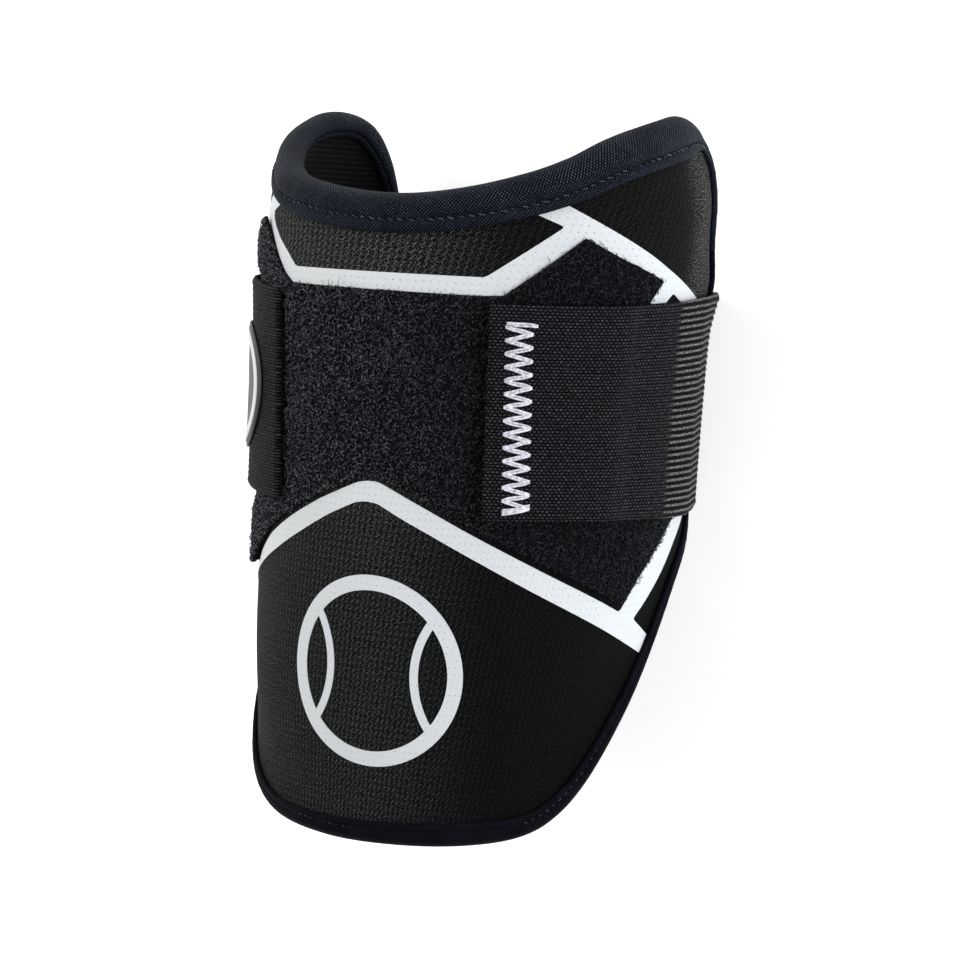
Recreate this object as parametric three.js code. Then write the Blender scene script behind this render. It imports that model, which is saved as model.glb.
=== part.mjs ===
// Baseball elbow guard: a padded panel round the elbow, held on by one wide elastic strap.
// Lengths are millimetres. The guard is shaped as it is worn, with its front towards -Y and
// the arm along +Z, and the last lines lay it down on the flat back of its strap.
import * as THREE from 'three';

// Padded panel: an oval round the arm, open at the back
const halfWidth = 52;
const frontDepth = 48.5;
const backDepth = 60;
const panelHeight = 166;
const panelWrap = 116;
const padThickness = 5;
const edgeThickness = 2.4;
const edgeDrop = 1;
const edgeFlat = 2;
const edgeTaper = 17;
const liningThickness = 1;

// Roll over the top edge and tape round the other edges
const rimDepth = 5.7;
const rimWall = 1.1;
const rimCrest = 3.5;
const rimPuff = 0.9;
const tapeDepth = 3.2;
const tapeWall = 1;
const tapeCrest = 1.5;
const tapePuff = 0.1;

// Loop patch, elastic strap with its hook tabs, and the strap's emblem
const pileThickness = 1.2;
const strapWidth = 49.4;
const strapThickness = 1.6;
const strapRise = 2;
const strapHeight = 101;
const strapEndRight = 29.3;
const strapEndLeft = 27.5;
const strapSlantRight = -1;
const strapSlantLeft = 2.1;
const strapEasing = 9;
const strapSlack = 4;
const strapLeaves = 111;
const strapCornerRadius = 6;
const strapBehindEdge = 1.6;
const tabLength = 24;
const tabInset = 2.2;
const tabThickness = 1;
const emblemWidth = 36;
const emblemHeight = 31;
const emblemThickness = 0.9;
const emblemFromEnd = 26;

// Space left between pieces that touch, and between the panel's edge and the fold over it
const clearance = 0.3;
const edgeRoom = 0.6;

// Spacing of the facets
const columnCount = 44;
const sweepStep = 5.2;
const rowShares = [0, 0.05, 0.1, 0.17, 0.26, 0.37, 0.49, 0.61, 0.72, 0.82, 0.9, 0.95, 1];

// Girth of the panel along the arm: shares of the panel's height, half width and front depth
const girth = [
  { up: 0.0, wide: 0.985, deep: 0.957 },
  { up: 0.17, wide: 1.004, deep: 0.981 },
  { up: 0.44, wide: 0.995, deep: 1.002 },
  { up: 0.68, wide: 1.018, deep: 0.967 },
  { up: 0.89, wide: 1.062, deep: 0.959 },
  { up: 0.95, wide: 1.042, deep: 0.957 },
  { up: 1.0, wide: 0.99, deep: 0.95 },
];

// Outline of the panel from its left free edge to its right one. Each row is a line across it
// from the lower edge to the upper: around is a share of the wrap, up a share of the height.
const outline = [
  { lowAround: -1.0, lowUp: 0.51, topAround: -0.952, topUp: 0.86 },
  { lowAround: -0.975, lowUp: 0.468, topAround: -0.935, topUp: 0.92 },
  { lowAround: -0.91, lowUp: 0.432, topAround: -0.885, topUp: 0.97 },
  { lowAround: -0.78, lowUp: 0.378, topAround: -0.8, topUp: 0.993 },
  { lowAround: -0.64, lowUp: 0.31, topAround: -0.69, topUp: 0.985 },
  { lowAround: -0.52, lowUp: 0.226, topAround: -0.555, topUp: 0.956 },
  { lowAround: -0.428, lowUp: 0.136, topAround: -0.415, topUp: 0.928 },
  { lowAround: -0.34, lowUp: 0.063, topAround: -0.285, topUp: 0.903 },
  { lowAround: -0.23, lowUp: 0.021, topAround: -0.17, topUp: 0.889 },
  { lowAround: -0.07, lowUp: 0.001, topAround: -0.05, topUp: 0.88 },
  { lowAround: 0.09, lowUp: 0.0, topAround: 0.07, topUp: 0.88 },
  { lowAround: 0.245, lowUp: 0.006, topAround: 0.19, topUp: 0.89 },
  { lowAround: 0.355, lowUp: 0.016, topAround: 0.295, topUp: 0.908 },
  { lowAround: 0.425, lowUp: 0.04, topAround: 0.385, topUp: 0.931 },
  { lowAround: 0.487, lowUp: 0.092, topAround: 0.475, topUp: 0.961 },
  { lowAround: 0.58, lowUp: 0.182, topAround: 0.565, topUp: 0.988 },
  { lowAround: 0.69, lowUp: 0.283, topAround: 0.66, topUp: 1.0 },
  { lowAround: 0.79, lowUp: 0.358, topAround: 0.75, topUp: 0.987 },
  { lowAround: 0.905, lowUp: 0.411, topAround: 0.82, topUp: 0.95 },
  { lowAround: 0.975, lowUp: 0.447, topAround: 0.865, topUp: 0.895 },
  { lowAround: 1.0, lowUp: 0.495, topAround: 0.885, topUp: 0.83 },
];

// Outline of the loop patch, in the same shares, from its left point to its right one
const patch = [
  { around: -0.74, low: 0.44, top: 0.71 },
  { around: -0.64, low: 0.385, top: 0.79 },
  { around: -0.53, low: 0.355, top: 0.84 },
  { around: -0.415, low: 0.4, top: 0.855 },
  { around: -0.253, low: 0.441, top: 0.765 },
  { around: -0.12, low: 0.476, top: 0.765 },
  { around: 0.02, low: 0.504, top: 0.765 },
  { around: 0.12, low: 0.475, top: 0.765 },
  { around: 0.228, low: 0.441, top: 0.765 },
  { around: 0.42, low: 0.377, top: 0.85 },
  { around: 0.56, low: 0.332, top: 0.808 },
  { around: 0.635, low: 0.387, top: 0.765 },
  { around: 0.745, low: 0.455, top: 0.7 },
];

const cloth = (color, roughness) => new THREE.MeshStandardMaterial({ color, roughness, metalness: 0 });
const meshFabric = cloth(0x191a1b, 0.85);
const ribbedCloth = cloth(0x131216, 0.9);
const rimTwill = cloth(0x1c2028, 0.7);
const loopPile = cloth(0x101116, 1);
const elasticWeb = cloth(0x2b2d32, 0.8);
const hookTape = cloth(0x0c0c0e, 0.8);
const emblemRubber = cloth(0xe4e7ea, 0.5);


// Value of a table's column at a place, on a smooth curve through its rows
function readTable(rows, placeColumn, valueColumn, place) {
  const last = rows.length - 1;
  const at = THREE.MathUtils.clamp(place, rows[0][placeColumn], rows[last][placeColumn]);
  let row = 0;
  while (row < last - 1 && rows[row + 1][placeColumn] < at) row += 1;
  const slope = (index) => {
    const before = rows[Math.max(index - 1, 0)];
    const after = rows[Math.min(index + 1, last)];
    return (after[valueColumn] - before[valueColumn]) / (after[placeColumn] - before[placeColumn]);
  };
  const span = rows[row + 1][placeColumn] - rows[row][placeColumn];
  const t = (at - rows[row][placeColumn]) / span;
  const from = rows[row][valueColumn];
  const to = rows[row + 1][valueColumn];
  const rise = slope(row) * span;
  const fall = slope(row + 1) * span;
  return from + t * rise + t * t * (3 * (to - from) - 2 * rise - fall)
    + t * t * t * (2 * (from - to) + rise + fall);
}

// Angle round the oval at a distance round the panel from its front line
const ovalSteps = 180;
const ovalLengths = [0];
for (let step = 1; step <= ovalSteps; step += 1) {
  const turn = ((step - 0.5) / ovalSteps) * Math.PI;
  const depth = turn < Math.PI / 2 ? frontDepth : backDepth;
  const stride = Math.hypot(halfWidth * Math.cos(turn), depth * Math.sin(turn));
  ovalLengths.push(ovalLengths[step - 1] + (stride * Math.PI) / ovalSteps);
}
function turnAt(around) {
  const length = Math.abs(around);
  let step = 1;
  while (step < ovalSteps && ovalLengths[step] < length) step += 1;
  const share = (length - ovalLengths[step - 1]) / (ovalLengths[step] - ovalLengths[step - 1]);
  return (Math.sign(around) * (step - 1 + share) * Math.PI) / ovalSteps;
}

// Point at a distance round the panel, a height up it and an offset out of its outer surface
function panelPoint(around, up, out) {
  const turn = turnAt(around);
  const height = up / panelHeight;
  const width = halfWidth * readTable(girth, 'up', 'wide', height);
  const front = frontDepth * readTable(girth, 'up', 'deep', height);
  const depth = Math.cos(turn) > 0 ? front : backDepth;
  const normal = new THREE.Vector2(Math.sin(turn) / width, -Math.cos(turn) / depth).normalize();
  const x = width * Math.sin(turn) + out * normal.x;
  const y = -depth * Math.cos(turn) + out * normal.y;
  return new THREE.Vector3(x, y, up);
}

function readOutline(column, place) {
  const rows = outline.map((row, index) => ({ index, value: row[column] }));
  return readTable(rows, 'index', 'value', place * (rows.length - 1));
}
const lowerEdge = (place) => new THREE.Vector2(
  readOutline('lowAround', place) * panelWrap, readOutline('lowUp', place) * panelHeight);
const upperEdge = (place) => new THREE.Vector2(
  readOutline('topAround', place) * panelWrap, readOutline('topUp', place) * panelHeight);

// The panel's edge as lines of points: the top from right to left, and the rest from the top's
// left end down the free edge, along the lip and up to its right end
const edgeSamples = 240;
const places = Array.from({ length: edgeSamples + 1 }, (_, index) => index / edgeSamples);
const topLine = places.map((place) => upperEdge(1 - place));
const lipLine = [upperEdge(0), ...places.map(lowerEdge), upperEdge(1)];
const wholeEdge = [...topLine.slice(0, -1), ...lipLine];

function edgeDistance(point) {
  let nearest = Infinity;
  for (let index = 1; index < wholeEdge.length; index += 1) {
    const start = wholeEdge[index - 1];
    const along = wholeEdge[index].clone().sub(start);
    const share = THREE.MathUtils.clamp(
      point.clone().sub(start).dot(along) / Math.max(along.lengthSq(), 1e-9), 0, 1);
    nearest = Math.min(nearest, start.clone().addScaledVector(along, share).distanceTo(point));
  }
  return nearest;
}

// Offsets of the padded panel's two faces, which thin down towards every edge
const fullness = (distance) => THREE.MathUtils.smoothstep(
  distance, rimDepth + edgeFlat, rimDepth + edgeFlat + edgeTaper);
const outerFace = (distance) => -edgeDrop * (1 - fullness(distance));
const innerFace = (distance) => outerFace(distance)
  - THREE.MathUtils.lerp(edgeThickness, padThickness, fullness(distance));

function namedMesh(name, positions, faces, material) {
  const geometry = new THREE.BufferGeometry();
  geometry.setAttribute('position', new THREE.Float32BufferAttribute(positions, 3));
  geometry.setIndex(faces);
  geometry.computeVertexNormals();
  const mesh = new THREE.Mesh(geometry, material);
  mesh.name = name;
  return mesh;
}

// Closed solid between two faces over one grid of places. pointAt gives a point of the outer
// face for layer 0 and of the inner face for layer 1, columns running right and rows up.
function gridSolid(name, material, columns, rows, pointAt) {
  const positions = [];
  const faces = [];
  const at = (layer, column, row) => (layer * (columns + 1) + column) * (rows + 1) + row;
  for (let layer = 0; layer < 2; layer += 1) {
    for (let column = 0; column <= columns; column += 1) {
      for (let row = 0; row <= rows; row += 1) {
        positions.push(...pointAt(column, row, layer).toArray());
      }
    }
  }
  const quad = (a, b, c, d) => faces.push(a, b, c, a, c, d);
  for (let column = 0; column < columns; column += 1) {
    for (let row = 0; row < rows; row += 1) {
      quad(at(0, column, row), at(0, column + 1, row),
        at(0, column + 1, row + 1), at(0, column, row + 1));
      quad(at(1, column, row), at(1, column, row + 1),
        at(1, column + 1, row + 1), at(1, column + 1, row));
    }
    quad(at(1, column, 0), at(1, column + 1, 0), at(0, column + 1, 0), at(0, column, 0));
    quad(at(0, column, rows), at(0, column + 1, rows),
      at(1, column + 1, rows), at(1, column, rows));
  }
  for (let row = 0; row < rows; row += 1) {
    quad(at(0, 0, row), at(0, 0, row + 1), at(1, 0, row + 1), at(1, 0, row));
    quad(at(1, columns, row), at(1, columns, row + 1),
      at(0, columns, row + 1), at(0, columns, row));
  }
  return namedMesh(name, positions, faces, material);
}

// Column places bunch towards the two free edges
const columnPlace = (column) => {
  const even = column / columnCount;
  return even - 0.035 * Math.sin(2 * Math.PI * even);
};

// Layer of the panel, between two offsets that depend on the distance from the edge
function panelLayer(name, material, outer, inner) {
  return gridSolid(name, material, columnCount, rowShares.length - 1, (column, row, layer) => {
    const place = columnPlace(column);
    const spot = lowerEdge(place).lerp(upperEdge(place), rowShares[row]);
    const distance = edgeDistance(spot);
    return panelPoint(spot.x, spot.y, layer === 0 ? outer(distance) : inner(distance));
  });
}

// Folded section that straddles the panel's edge: x runs outwards past the edge, y out of its face
function foldSection(depth, thickness, crest, puff) {
  const top = -edgeDrop + clearance;
  const bottom = innerFace(0) - clearance - liningThickness - clearance;
  const middle = (top + bottom) / 2;
  const half = (top - bottom) / 2 + thickness + puff;
  const crown = Array.from({ length: 5 }, (_, index) => {
    const angle = Math.PI / 2 - ((index + 1) * Math.PI) / 6;
    return [crest * Math.cos(angle), middle + half * Math.sin(angle)];
  });
  return [
    [-depth, top + thickness],
    [-depth / 2, top + thickness + puff * 0.8],
    [0, middle + half],
    ...crown,
    [0, middle - half],
    [-depth / 2, bottom - thickness - puff * 0.8],
    [-depth, bottom - thickness],
    [-depth, bottom],
    [edgeRoom, bottom],
    [edgeRoom, top],
    [-depth, top],
  ];
}

// Points at even steps along a line, short of its ends by a margin
function evenPoints(line, margin) {
  const lengths = [0];
  for (let index = 1; index < line.length; index += 1) {
    lengths.push(lengths[index - 1] + line[index].distanceTo(line[index - 1]));
  }
  const whole = lengths[lengths.length - 1] - 2 * margin;
  const count = Math.max(Math.round(whole / sweepStep), 1);
  return Array.from({ length: count + 1 }, (_, step) => {
    const length = margin + (whole * step) / count;
    let index = 1;
    while (index < line.length - 1 && lengths[index] < length) index += 1;
    const share = (length - lengths[index - 1]) / (lengths[index] - lengths[index - 1]);
    return line[index - 1].clone().lerp(line[index], share);
  });
}

// Solid swept along a line on the panel. sectionAt gives the section at a share of the length.
function edgeSweep(name, material, line, sectionAt) {
  const stations = evenPoints(line, clearance / 2);
  const last = stations.length - 1;
  const positions = [];
  const faces = [];
  const size = sectionAt(0).length;
  stations.forEach((station, index) => {
    const ahead = stations[Math.min(index + 1, last)].clone();
    const along = ahead.sub(stations[Math.max(index - 1, 0)]).normalize();
    const outward = new THREE.Vector2(along.y, -along.x);
    for (const [past, out] of sectionAt(index / last)) {
      const spot = station.clone().addScaledVector(outward, past);
      positions.push(...panelPoint(spot.x, spot.y, out).toArray());
    }
  });
  for (let index = 0; index < last; index += 1) {
    for (let corner = 0; corner < size; corner += 1) {
      const a = index * size + corner;
      const b = index * size + ((corner + 1) % size);
      faces.push(a, b, b + size, a, b + size, a + size);
    }
  }
  const cap = (share, first, flip) => {
    const flat = sectionAt(share).map(([x, y]) => new THREE.Vector2(x, y));
    for (const [a, b, c] of THREE.ShapeUtils.triangulateShape(flat, [])) {
      const clockwise = THREE.ShapeUtils.area([flat[a], flat[b], flat[c]]) < 0;
      faces.push(first + a, ...(clockwise === flip ? [first + b, first + c] : [first + c, first + b]));
    }
  };
  cap(0, 0, false);
  cap(1, last * size, true);
  return namedMesh(name, positions, faces, material);
}

// The roll swells over the top and sinks to the tape's section at its two ends
const swell = (share) => THREE.MathUtils.smoothstep(Math.min(share, 1 - share), 0, 0.09);
const rimSection = (share) => foldSection(
  THREE.MathUtils.lerp(tapeDepth, rimDepth, swell(share)),
  THREE.MathUtils.lerp(tapeWall, rimWall, swell(share)),
  THREE.MathUtils.lerp(tapeCrest, rimCrest, swell(share)),
  THREE.MathUtils.lerp(tapePuff, rimPuff, swell(share)));
const tapeSection = () => foldSection(tapeDepth, tapeWall, tapeCrest, tapePuff);

// Loop patch on the front of the panel
const patchSteps = 3;
function loopPatch() {
  const columns = (patch.length - 1) * patchSteps;
  const shares = [0, 0.2, 0.4, 0.6, 0.8, 1];
  const mixed = (row, next, share, column) => THREE.MathUtils.lerp(row[column], next[column], share);
  return gridSolid('loop_panel', loopPile, columns, shares.length - 1, (column, row, layer) => {
    const index = Math.min(Math.floor(column / patchSteps), patch.length - 2);
    const share = column / patchSteps - index;
    const around = mixed(patch[index], patch[index + 1], share, 'around') * panelWrap;
    const low = mixed(patch[index], patch[index + 1], share, 'low') * panelHeight;
    const top = mixed(patch[index], patch[index + 1], share, 'top') * panelHeight;
    return panelPoint(around, THREE.MathUtils.lerp(low, top, shares[row]),
      clearance + (layer === 0 ? pileThickness : 0));
  });
}

// Offsets of the strap's inner face: over the hook tabs, over the patch, and round the sides
const tabFace = clearance + pileThickness + clearance;
const strapOverTab = tabFace + tabThickness + clearance;
const strapAtSide = clearance + tapeWall + tapePuff + clearance - edgeDrop + clearance;
const strapLow = strapHeight - strapWidth / 2;
const strapTop = strapHeight + strapWidth / 2;
const strapRows = 2;

// Height of the strap's straight back behind the arm's axis, clear of both free edges
const edgeReach = panelPoint(panelWrap + tapeCrest, strapHeight, 0).y;
const strapBack = edgeReach + strapBehindEdge;

// Half of the strap's route at one height, from a front end to the middle of the back, at an
// offset into its thickness. It follows the panel, runs straight past the free edge and turns.
function halfRoute(straightEnd, slant, up, into) {
  const route = [];
  const onPanel = 18;
  const end = straightEnd + (slant * 2 * (up - strapHeight)) / strapWidth;
  const tabEnd = straightEnd + tabLength + strapSlack;
  const patchEnd = patch[patch.length - 1].around * panelWrap + strapSlack;
  for (let step = 0; step <= onPanel; step += 1) {
    const around = THREE.MathUtils.lerp(end, strapLeaves, step / onPanel);
    const risen = up + (strapRise * step) / onPanel;
    const pastTab = THREE.MathUtils.smoothstep(around, tabEnd, tabEnd + strapEasing);
    const pastPatch = THREE.MathUtils.smoothstep(around, patchEnd, patchEnd + strapEasing);
    const overPatch = THREE.MathUtils.lerp(strapOverTab, tabFace, pastTab);
    const out = THREE.MathUtils.lerp(overPatch, strapAtSide, pastPatch) + into;
    route.push(panelPoint(around, risen, out));
  }
  const leaving = route[onPanel];
  const direction = leaving.clone().sub(route[onPanel - 1]).setZ(0).normalize();
  const back = strapBack + into;
  const radius = strapCornerRadius + into;
  const corner = leaving.clone().addScaledVector(direction, (back - leaving.y) / direction.y);
  const halfTurn = Math.acos(-direction.x) / 2;
  const centre = new THREE.Vector3(corner.x - radius * Math.tan(halfTurn), back - radius, corner.z);
  const turnSteps = 5;
  for (let step = 0; step <= turnSteps; step += 1) {
    const angle = Math.PI / 2 - 2 * halfTurn * (1 - step / turnSteps);
    route.push(new THREE.Vector3(
      centre.x + radius * Math.cos(angle), centre.y + radius * Math.sin(angle), centre.z));
  }
  route.push(new THREE.Vector3(centre.x / 2, back, centre.z));
  route.push(new THREE.Vector3(0, back, centre.z));
  return route;
}

function strapRoute(up, into) {
  const left = halfRoute(strapEndLeft, strapSlantLeft, up, into);
  const right = halfRoute(strapEndRight, strapSlantRight, up, into).slice(0, -1);
  const mirrored = left.map((point) => new THREE.Vector3(-point.x, point.y, point.z));
  return [...mirrored, ...right.reverse()].reverse();
}

function elasticStrap() {
  const heights = Array.from({ length: strapRows + 1 }, (_, row) =>
    THREE.MathUtils.lerp(strapLow, strapTop, row / strapRows));
  const layers = [strapThickness, 0].map((into) => heights.map((up) => strapRoute(up, into)));
  return gridSolid('strap', elasticWeb, layers[0][0].length - 1, strapRows,
    (column, row, layer) => layers[layer][row][column]);
}

// Hook tab under one end of the strap
function hookTab(name, side, end) {
  const columns = 3;
  const rows = 2;
  return gridSolid(name, hookTape, columns, rows, (column, row, layer) => {
    const share = side > 0 ? column / columns : 1 - column / columns;
    const around = side * (end + tabInset + (tabLength - tabInset) * share);
    const up = THREE.MathUtils.lerp(strapLow + tabInset, strapTop - tabInset, row / rows);
    return panelPoint(around, up, tabFace + (layer === 0 ? tabThickness : 0));
  });
}

// Oval emblem on the left end of the strap, a little proud of the web
function strapEmblem() {
  const columns = 10;
  const rows = 6;
  const face = strapOverTab + strapThickness + clearance;
  const middle = -(strapEndLeft + emblemFromEnd);
  return gridSolid('strap_emblem', emblemRubber, columns, rows, (column, row, layer) => {
    const x = -Math.cos((Math.PI * (column + 0.6)) / (columns + 1.2));
    const tall = Math.sqrt(1 - x * x);
    const y = tall * ((2 * row) / rows - 1);
    const around = middle + (x * emblemWidth) / 2;
    return panelPoint(around, strapHeight + (y * emblemHeight) / 2,
      face + (layer === 0 ? emblemThickness : 0));
  });
}

const liningFace = (distance) => innerFace(distance) - clearance;
const guard = new THREE.Group();
guard.add(panelLayer('shell', meshFabric, outerFace, innerFace));
guard.add(panelLayer('lining', ribbedCloth, liningFace,
  (distance) => liningFace(distance) - liningThickness));
guard.add(edgeSweep('top_rim', rimTwill, topLine, rimSection));
guard.add(edgeSweep('edge_binding', rimTwill, lipLine, tapeSection));
guard.add(loopPatch());
guard.add(elasticStrap());
guard.add(hookTab('hook_tab_right', 1, strapEndRight));
guard.add(hookTab('hook_tab_left', -1, strapEndLeft));
guard.add(strapEmblem());

// Lay the guard on its back, with its origin under the middle of its outline
guard.rotation.x = -Math.PI / 2;
const part = new THREE.Group();
part.add(guard);
part.updateMatrixWorld(true);
const box = new THREE.Box3().setFromObject(part, true);
guard.position.set(
  -(box.min.x + box.max.x) / 2, -(box.min.y + box.max.y) / 2, -box.min.z);

export default part;
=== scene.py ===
import math

import bmesh
import bpy
import numpy as np
from mathutils import Matrix, Vector


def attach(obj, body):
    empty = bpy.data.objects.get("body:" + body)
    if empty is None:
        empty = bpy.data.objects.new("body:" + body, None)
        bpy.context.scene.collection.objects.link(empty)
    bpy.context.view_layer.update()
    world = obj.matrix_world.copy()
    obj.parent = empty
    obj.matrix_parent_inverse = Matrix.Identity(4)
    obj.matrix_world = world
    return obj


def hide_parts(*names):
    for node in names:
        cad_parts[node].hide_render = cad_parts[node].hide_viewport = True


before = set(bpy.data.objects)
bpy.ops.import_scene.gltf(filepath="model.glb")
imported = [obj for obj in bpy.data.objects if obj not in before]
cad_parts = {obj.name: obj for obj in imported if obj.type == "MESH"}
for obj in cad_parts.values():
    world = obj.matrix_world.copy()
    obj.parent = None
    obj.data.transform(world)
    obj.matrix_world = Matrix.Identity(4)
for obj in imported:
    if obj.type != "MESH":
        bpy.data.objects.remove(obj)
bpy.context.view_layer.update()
scene = bpy.context.scene

# Camera. A long lens looks down on the guard, which lies on the flat back of its strap, from
# above its front and its right side.
camera_data = bpy.data.cameras.new("camera")
camera_data.sensor_width = 36
camera_data.lens = 105.9
camera = bpy.data.objects.new("camera", camera_data)
scene.collection.objects.link(camera)
to_right = Vector((0.86087, 0.04930, -0.50644))
to_top = Vector((-0.09366, 0.99365, -0.06249))
turned = Matrix((to_right, to_top, to_right.cross(to_top))).transposed().to_4x4()
camera.matrix_world = Matrix.Translation((0.3486, 0.0665, 0.6341)) @ turned
scene.camera = camera

# Padded panel. Moulded foam between an outer mesh fabric and a lining, bent to an oval round
# the elbow and open at the back. Its outline is cut with two wings, and it thins towards every
# edge, where the roll and the tape are sewn over it. Lengths in the tables are millimetres.
half_width, front_depth, back_depth = 52.0, 48.5, 60.0
panel_height, panel_wrap = 166.0, 116.0
pad_thickness, edge_thickness, edge_drop = 5.0, 2.4, 1.0
edge_flat, edge_taper = 7.7, 17.0
left_wing_pull, right_corner_flare = 2.0, 1.1
frame_shift = (0.194, -83.89, 39.662)
girth = np.array([
    (0.0, 0.985, 0.957), (0.17, 1.004, 0.981), (0.44, 0.995, 1.002), (0.68, 1.018, 0.967),
    (0.89, 1.062, 0.959), (0.95, 1.042, 0.957), (1.0, 0.99, 0.95)])
outline = np.array([
    (-1.0, 0.51, -0.963, 0.86), (-0.98, 0.468, -0.944, 0.904), (-0.925, 0.43, -0.888, 0.952),
    (-0.84, 0.374, -0.8, 0.988), (-0.73, 0.302, -0.69, 0.993), (-0.628, 0.212, -0.555, 0.973),
    (-0.526, 0.122, -0.415, 0.935), (-0.41, 0.051, -0.285, 0.904), (-0.27, 0.008, -0.17, 0.889),
    (-0.09, -0.004, -0.05, 0.88), (0.09, -0.002, 0.07, 0.88), (0.245, 0.006, 0.19, 0.89),
    (0.355, 0.02, 0.295, 0.908), (0.425, 0.045, 0.385, 0.931), (0.491, 0.091, 0.475, 0.958),
    (0.584, 0.182, 0.565, 0.977), (0.69, 0.283, 0.665, 0.993), (0.79, 0.358, 0.765, 1.003),
    (0.905, 0.411, 0.85, 0.993), (0.975, 0.447, 0.915, 0.944), (1.0, 0.495, 0.943, 0.84)])


def through_rows(places, values, at):
    """A smooth curve through the rows of a table."""
    last = len(places) - 1
    at = np.clip(at, places[0], places[-1])
    row = np.clip(np.searchsorted(places, at) - 1, 0, last - 1)
    before = np.maximum(np.arange(last + 1) - 1, 0)
    after = np.minimum(np.arange(last + 1) + 1, last)
    slope = (values[after] - values[before]) / (places[after] - places[before])
    span = places[row + 1] - places[row]
    t = (at - places[row]) / span
    start, end = values[row], values[row + 1]
    rise, fall = slope[row] * span, slope[row + 1] * span
    return (start + t * rise + t**2 * (3 * (end - start) - 2 * rise - fall)
            + t**3 * (2 * (start - end) + rise + fall))


def eased(value, low, high):
    share = np.clip((value - low) / (high - low), 0, 1)
    return share * share * (3 - 2 * share)


oval_turns = np.linspace(0, math.pi, 181)
mid_turns = (oval_turns[1:] + oval_turns[:-1]) / 2
oval_strides = np.hypot(
    half_width * np.cos(mid_turns),
    np.where(mid_turns < math.pi / 2, front_depth, back_depth) * np.sin(mid_turns))
oval_lengths = np.concatenate([[0], np.cumsum(oval_strides * math.pi / 180)])


def panel_point(around, up, out):
    """Points at a distance round the panel, a height up it and an offset out of its face."""
    around, up, out = np.broadcast_arrays(
        *[np.asarray(value, float) for value in (around, up, out)])
    turn = np.sign(around) * np.interp(np.abs(around), oval_lengths, oval_turns)
    height = up / panel_height
    width = half_width * through_rows(girth[:, 0], girth[:, 1], height)
    front = front_depth * through_rows(girth[:, 0], girth[:, 2], height)
    depth = np.where(np.cos(turn) > 0, front, back_depth)
    normal_x, normal_y = np.sin(turn) / width, -np.cos(turn) / depth
    pull = left_wing_pull * eased(up, 146, 158) * eased(-around, 25, 50)
    flare = right_corner_flare * eased(around, 85, 105) * np.exp(-((up - 131) / 7)**2)
    out = out - pull * (1 - 0.5 * eased(-around, 80, 110)) + flare
    size = np.hypot(normal_x, normal_y)
    x = width * np.sin(turn) + out * normal_x / size
    y = -depth * np.cos(turn) + out * normal_y / size
    return np.stack([x + frame_shift[0], up + frame_shift[1], frame_shift[2] - y], -1)


def edge_line(columns, place):
    rows = np.arange(len(outline)) / (len(outline) - 1)
    around = through_rows(rows, outline[:, columns[0]], place) * panel_wrap
    up = through_rows(rows, outline[:, columns[1]], place) * panel_height
    return np.stack([around, up], -1)


lower, upper = (0, 1), (2, 3)
edge_places = np.linspace(0, 1, 241)
top_line = edge_line(upper, edge_places[::-1])
lip_line = np.concatenate([
    edge_line(upper, edge_places[:1]), edge_line(lower, edge_places), edge_line(upper, edge_places[-1:])])
panel_edge = np.concatenate([top_line[:-1], lip_line])


def edge_distance(spots):
    starts = panel_edge[:-1]
    along = panel_edge[1:] - starts
    square = np.maximum((along**2).sum(1), 1e-9)
    spots = np.asarray(spots, float)
    flat = spots.reshape(-1, 2)
    nearest = np.empty(len(flat))
    for first in range(0, len(flat), 2000):
        reach = flat[first:first + 2000, None] - starts
        share = np.clip((reach * along).sum(2) / square, 0, 1)
        gap = reach - share[..., None] * along
        nearest[first:first + 2000] = np.sqrt((gap**2).sum(2)).min(1)
    return nearest.reshape(spots.shape[:-1])


def outer_face(distance):
    return -edge_drop * (1 - eased(distance, edge_flat, edge_flat + edge_taper))


def inner_face(distance):
    fullness = eased(distance, edge_flat, edge_flat + edge_taper)
    return outer_face(distance) - edge_thickness - (pad_thickness - edge_thickness) * fullness


def at_spots(spots, out):
    """Points at an offset out of the panel's face, over places given as around and up."""
    return panel_point(spots[..., 0], spots[..., 1], out)


def new_piece(name, points, faces, finish, cloth=None):
    """A smooth mesh from points in millimetres, with each point's place on the cloth as UV."""
    mesh = bpy.data.meshes.new(name)
    mesh.from_pydata((np.asarray(points).reshape(-1, 3) * 0.001).tolist(), [], faces)
    mesh.polygons.foreach_set("use_smooth", [True] * len(mesh.polygons))
    if cloth is not None:
        corners = np.empty(len(mesh.loops), np.int32)
        mesh.loops.foreach_get("vertex_index", corners)
        places = np.asarray(cloth, np.float32).reshape(-1, 2)[corners]
        mesh.uv_layers.new(name="cloth").data.foreach_set("uv", places.ravel())
    mesh.materials.append(finish)
    mesh.update()
    piece = bpy.data.objects.new(name, mesh)
    scene.collection.objects.link(piece)
    return piece


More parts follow.
